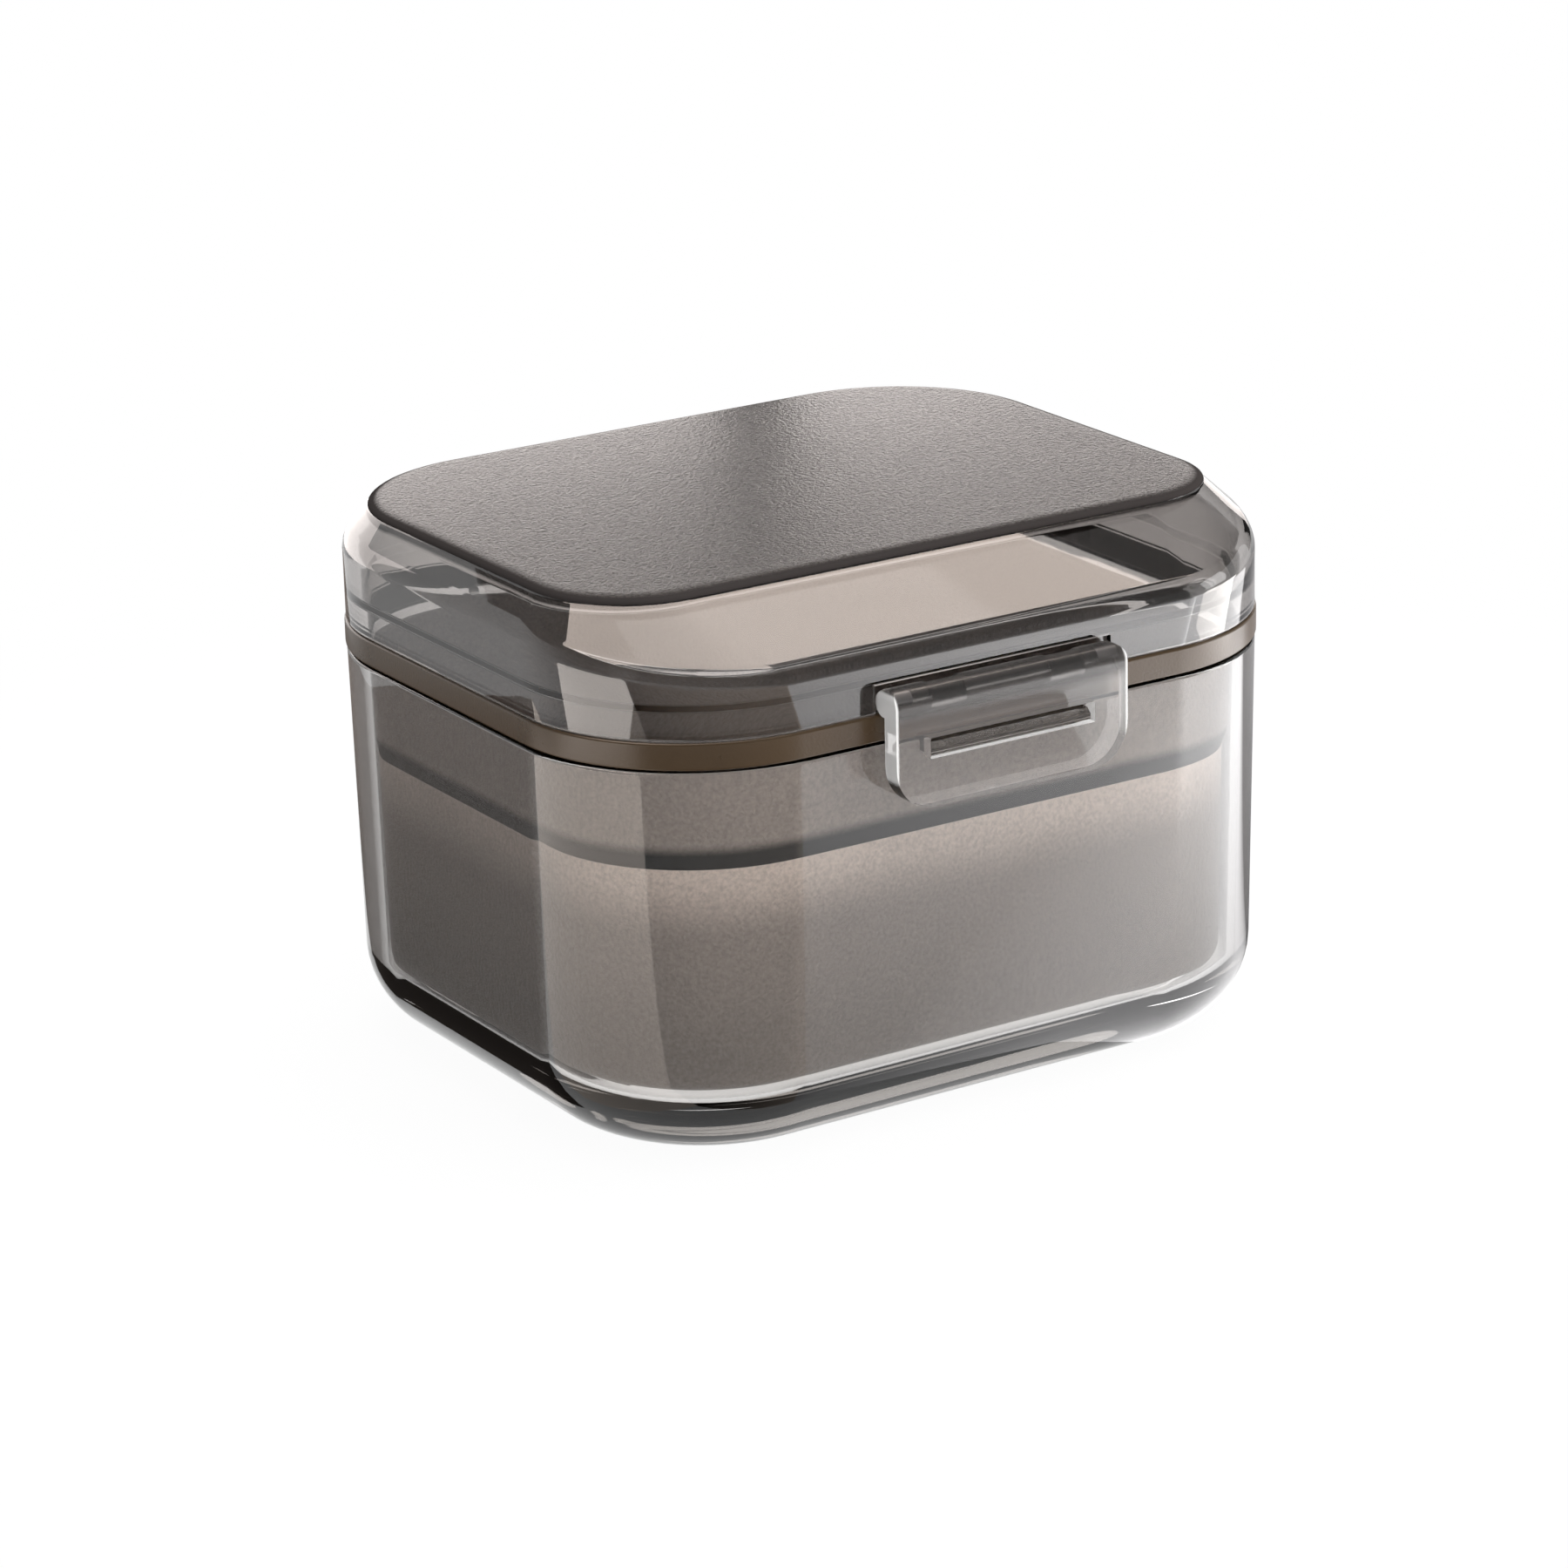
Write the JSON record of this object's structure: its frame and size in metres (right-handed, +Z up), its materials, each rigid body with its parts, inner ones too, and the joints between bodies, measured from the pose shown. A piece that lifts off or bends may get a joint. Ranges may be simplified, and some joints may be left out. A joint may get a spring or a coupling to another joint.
{
  "type": "retainer case",
  "caption": "Clear smoky retainer soaking case: deep tub, frosted strainer basket, hinged lid with sloped front and frosted panel, silicone seal and swinging front clip.",
  "frame": {"origin": "centre of the tub's underside", "axes": "+X along the width, +Y to the hinge at the back with the clip towards -Y, +Z up through the lid"},
  "size_m": [0.0952, 0.0894, 0.0647],
  "materials": {
    "clear_tub": "polished clear smoky plastic",
    "frosted_basket": "fine frosted smoky plastic",
    "clear_lid": "polished clear smoky plastic with a frosted top panel",
    "silicone": "matt khaki silicone",
    "clear_clip": "polished clear plastic",
    "steel": "drawn stainless wire"
  },
  "bodies": {
    "base": {"tub": "clear_tub", "hinge_pin": "steel"},
    "cover": {"lid": "clear_lid", "seal_ring": "silicone", "clip_pin": "steel"},
    "clip": {"front_clip": "clear_clip"},
    "basket": {"strainer_basket": "frosted_basket"}
  },
  "joints": [
    {"name": "lid_hinge", "type": "hinge", "parent": "base", "child": "cover", "pos_m": [0, 0.04315, 0.0491], "axis": [-1, 0, 0], "range_deg": [0, 105]},
    {"name": "clip_swing", "type": "hinge", "parent": "cover", "child": "clip", "pos_m": [0, -0.0414, 0.0522], "axis": [-1, 0, 0], "range_deg": [0, 65]},
    {"name": "basket_lift", "type": "slide", "parent": "base", "child": "basket", "axis": [0, 0, 1], "range_m": [0, 0.009]}
  ]
}
